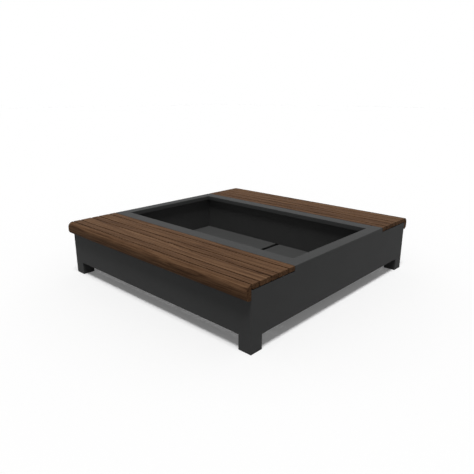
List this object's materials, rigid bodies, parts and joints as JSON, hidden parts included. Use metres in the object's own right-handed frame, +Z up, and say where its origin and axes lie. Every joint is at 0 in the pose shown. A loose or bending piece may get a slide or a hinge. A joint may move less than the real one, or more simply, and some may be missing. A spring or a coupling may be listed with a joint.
{
  "type": "planter bench",
  "caption": "Low square planter of folded sheet steel on short square legs, with slatted timber seats and rounded seat noses along two opposite sides.",
  "frame": {"origin": "centre of the footprint at ground level", "axes": "+X along the seats, towards the right side panel; +Y across, towards the back seat; +Z up"},
  "size_m": [2, 2.09, 0.45],
  "materials": {
    "powder_coat": "fine-textured matt powder coat, anthracite",
    "bed_steel": "fine-textured matt powder coat, dusty inside the bed",
    "frame_steel": "satin dip coat on hidden framing",
    "timber": "oiled red-brown hardwood, eased edges",
    "zinc": "zinc plated",
    "rubber": "matt"
  },
  "bodies": {
    "root": {"side_panel_left": "powder_coat", "inner_wall_left": "bed_steel", "floor_panel_left": "bed_steel", "side_panel_right": "powder_coat", "inner_wall_right": "bed_steel", "floor_panel_right": "bed_steel", "front_panel": "powder_coat", "cross_wall_front": "powder_coat", "inner_wall_front": "bed_steel", "front_slat_1": "timber", "front_slat_2": "timber", "front_slat_3": "timber", "front_slat_4": "timber", "front_slat_5": "timber", "front_nose": "timber", "front_bearer_1": "frame_steel", "front_bearer_2": "frame_steel", "front_bearer_3": "frame_steel", "front_bearer_4": "frame_steel", "slat_screws_front": "zinc", "corner_plate_front_left": "frame_steel", "leg_front_left": "powder_coat", "foot_pad_front_left": "rubber", "corner_plate_front_right": "frame_steel", "leg_front_right": "powder_coat", "foot_pad_front_right": "rubber", "back_panel": "powder_coat", "cross_wall_back": "powder_coat", "inner_wall_back": "bed_steel", "back_slat_1": "timber", "back_slat_2": "timber", "back_slat_3": "timber", "back_slat_4": "timber", "back_slat_5": "timber", "back_nose": "timber", "back_bearer_1": "frame_steel", "back_bearer_2": "frame_steel", "back_bearer_3": "frame_steel", "back_bearer_4": "frame_steel", "slat_screws_back": "zinc", "corner_plate_back_left": "frame_steel", "leg_back_left": "powder_coat", "foot_pad_back_left": "rubber", "corner_plate_back_right": "frame_steel", "leg_back_right": "powder_coat", "foot_pad_back_right": "rubber", "floor_beam_1": "frame_steel", "floor_beam_2": "frame_steel", "floor_beam_3": "frame_steel", "floor_beam_4": "frame_steel", "spacers_left": "zinc", "spacers_right": "zinc", "spacers_front": "zinc", "spacers_back": "zinc", "nose_screws": "zinc", "bearer_bolts": "zinc", "bearer_screws": "zinc", "leg_bolts": "zinc"}
  },
  "joints": []
}
